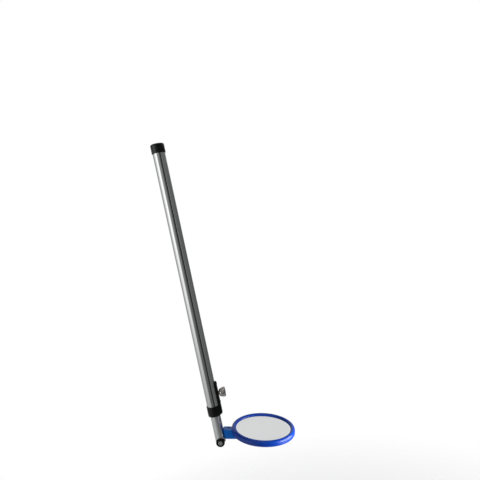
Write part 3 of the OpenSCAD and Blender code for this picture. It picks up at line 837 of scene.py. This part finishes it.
class Studio:
    """Light by direction: bearings in degrees round Z from the camera's side, positive to the right."""

    def __init__(self):
        world = bpy.data.worlds.new("studio")
        bpy.context.scene.world = world
        world.use_nodes = True
        self.tree = world.node_tree
        self.tree.nodes.clear()
        direction = self.make("TexCoord").outputs["Generated"]
        split = self.make("SeparateXYZ", {0: direction})
        x, y, z = split.outputs
        toward = self.maths("MULTIPLY", y, -1.0)
        self.bearing = self.maths("DEGREES", self.maths("ARCTAN2", x, toward))
        self.elevation = self.maths("DEGREES", self.maths("ARCSINE", z))
        self.light = None

    def make(self, kind, sockets=(), **settings):
        return add_node(self.tree, kind, sockets, **settings)

    def maths(self, operation, first, second=0.0):
        return self.make("Math", {0: first, 1: second}, operation=operation).outputs[0]

    def rise(self, value, start, end):
        """0 below start, 1 above end, and smooth between them."""
        sockets = {"Value": value, "From Min": start, "From Max": end}
        made = self.make("MapRange", sockets, interpolation_type="SMOOTHSTEP")
        return made.outputs["Result"]

    def window(self, value, low, high, soft_low, soft_high):
        up = self.rise(value, low - soft_low, low + soft_low)
        down = self.rise(value, high - soft_high, high + soft_high)
        return self.maths("MULTIPLY", up, self.maths("SUBTRACT", 1.0, down))

    def add(self, colour, strength):
        lamp = self.make("Background", {"Color": (*colour, 1), "Strength": strength}).outputs[0]
        if self.light is not None:
            lamp = self.make("AddShader", {0: self.light, 1: lamp}).outputs[0]
        self.light = lamp

    def panel(self, colour, strength, bearings, elevations, soft=(4, 4), fade=(12, 12), about=0):
        """A soft panel between two bearings and two elevations; bearings are measured from about."""
        turned = self.bearing
        if about:
            turned = self.maths("SUBTRACT", self.maths("ABSOLUTE", self.bearing), about)
        wide = self.window(turned, *bearings, *soft)
        tall = self.window(self.elevation, *elevations, *fade)
        self.add(colour, self.maths("MULTIPLY", self.maths("MULTIPLY", wide, tall), strength))

    def finish(self):
        """The camera sees a clean white backdrop; everything else sees the panels."""
        white = self.make("Background", {"Color": (1, 1, 1, 1), "Strength": 1.0}).outputs[0]
        seen = self.make("LightPath").outputs["Is Camera Ray"]
        mixed = self.make("MixShader", {0: seen, 1: self.light, 2: white}).outputs[0]
        out = self.make("OutputWorld")
        self.tree.links.new(mixed, out.inputs["Surface"])


def studio_light():
    """A dim room with soft panels to the left, behind, overhead and on the right."""
    white = (1, 1, 1)
    studio = Studio()
    studio.add((0.96, 0.98, 1.0), 0.13)
    studio.panel(white, 0.35, (-122, -26), (-45, 22), soft=(7, 5), fade=(12, 8))
    studio.panel(white, 0.45, (-92, -30), (-16, 22), soft=(12, 5), fade=(10, 8))
    studio.panel(white, 0.70, (-72, -45), (-8, 26), soft=(6, 5), fade=(12, 8))
    studio.panel(white, 0.20, (-30, 0), (-8, 30), soft=(6, 6), fade=(14, 8))
    studio.panel(white, 0.60, (-34, 34), (6, 46), soft=(9, 9), fade=(9, 6), about=180)
    studio.panel(white, 0.50, (-200, 200), (66, 100), fade=(10, 1))
    studio.panel(white, 0.40, (-75, 60), (40, 72), soft=(12, 12), fade=(10, 8))
    studio.panel(white, 0.40, (-182, -128), (-50, 5), soft=(8, 8), fade=(12, 6))
    studio.panel(white, 0.55, (84, 132), (14, 32), soft=(8, 8), fade=(5, 5))
    for bearing in (52, 72, 92):
        studio.panel(white, 0.10, (bearing - 4, bearing + 4), (-50, 16), soft=(5, 5), fade=(12, 8))
    studio.finish()


def soft_box():
    """A soft box low on the right, flagged off from everything but the rim."""
    lamp = bpy.data.lights.new("soft_box", "AREA")
    lamp.shape = "RECTANGLE"
    lamp.size, lamp.size_y = 0.36, 0.30
    lamp.energy = 4.6
    box = bpy.data.objects.new("soft_box", lamp)
    bpy.context.scene.collection.objects.link(box)
    stand, aim = Vector((0.47, -0.10, -0.80)), Vector((0.15, -0.02, -0.77))
    box.location = stand
    box.rotation_euler = (aim - stand).to_track_quat("-Z", "Y").to_euler()
    box.visible_camera = False
    lit = bpy.data.collections.new("lit_by_soft_box")
    for name in ("rim_bezel", "shell_tray"):
        lit.objects.link(bpy.data.objects[name])
    box.light_linking.receiver_collection = lit


def floor():
    """A pale round floor, well below the fully drawn-out pole, that fades out into the backdrop."""
    drop, radius, fade_from, fade_to = 0.06, 1.5, 0.35, 1.4
    reach = joints["pole_slide"]["range_m"][1] + 2 * DISC_R * MM + DISC_REACH * MM * 0.3
    level = hinge_at.z - reach - drop
    ground = lathe([(0, 0)] + [(radius * i / 12, 0) for i in range(1, 13)], even(96))
    made = solid(ground, Matrix.Translation((0, 0, level)), "floor")
    finish = Finish("floor_paint", Roughness=0.8, Emission_Strength=0.35)
    finish.shader.inputs["Emission Color"].default_value = (1, 1, 1, 1)
    mottle = finish.noise(finish.where(), 8, 3)
    finish.colour(finish.shade(mottle, (0.84, 0.845, 0.85), (0.88, 0.885, 0.89)))
    grain = finish.noise(finish.where(), 400, 3)
    finish.relief(grain, 0.0002, 0.2)
    flat = finish.where((1, 1, 0))
    out = finish.node("VectorMath", {0: flat}, operation="LENGTH").outputs["Value"]
    finish.tree.links.new(finish.spread(out, fade_from, fade_to, 1.0, 0.0), finish.shader.inputs["Alpha"])
    made.data.materials.append(finish.material)


def camera():
    """Beside the mirror's side of the pole and just above its middle, rolled so that the pole leans."""
    eye = Vector((0.163, -1.109, -0.212))
    yaw, pitch, roll = math.radians(0.59), math.radians(-3.08), math.radians(-11.76)
    made = bpy.data.objects.new("camera", bpy.data.cameras.new("camera"))
    made.data.sensor_width = 36
    made.data.lens = 33.62
    made.data.clip_start = 0.01
    turn = Matrix.Rotation(yaw, 4, "Z") @ Matrix.Rotation(math.pi / 2 + pitch, 4, "X")
    made.matrix_world = Matrix.Translation(eye) @ turn @ Matrix.Rotation(roll, 4, "Z")
    bpy.context.scene.collection.objects.link(made)
    bpy.context.scene.camera = made


# ---- everything ----------------------------------------------------------------------------------

camera()
studio_light()
floor()

handle_tube()
butt_cap()
clamp_moulding()
knob()
pole_tube()
hinge_barrel()
hinge_screw()
locking_nut()
lug_plate()
arm_moulding()
shell_tray()
rim_bezel()
mirror_glass()
foam_disc()
soft_box()

carried_over = {
    nylon: ("lower_bush", "guide_bush", "top_plug", "pressure_pad", "lug_bush"),
    brass: ("thread_insert",),
    zinc: ("clamp_screw", "tee_pin", "back_washer", "arm_mount_screws", "shell_screws"),
    oiled: ("snap_ring", "spring_washer", "tongue_rivets", "bolt_washer", "arm_screw"),
    rubber: ("friction_washer",),
}
for finish, nodes in carried_over.items():
    for node in nodes:
        slots = frame["nodes"][node].data.materials
        slots.clear()
        slots.append(finish)

bpy.context.scene.view_settings.view_transform = "Standard"
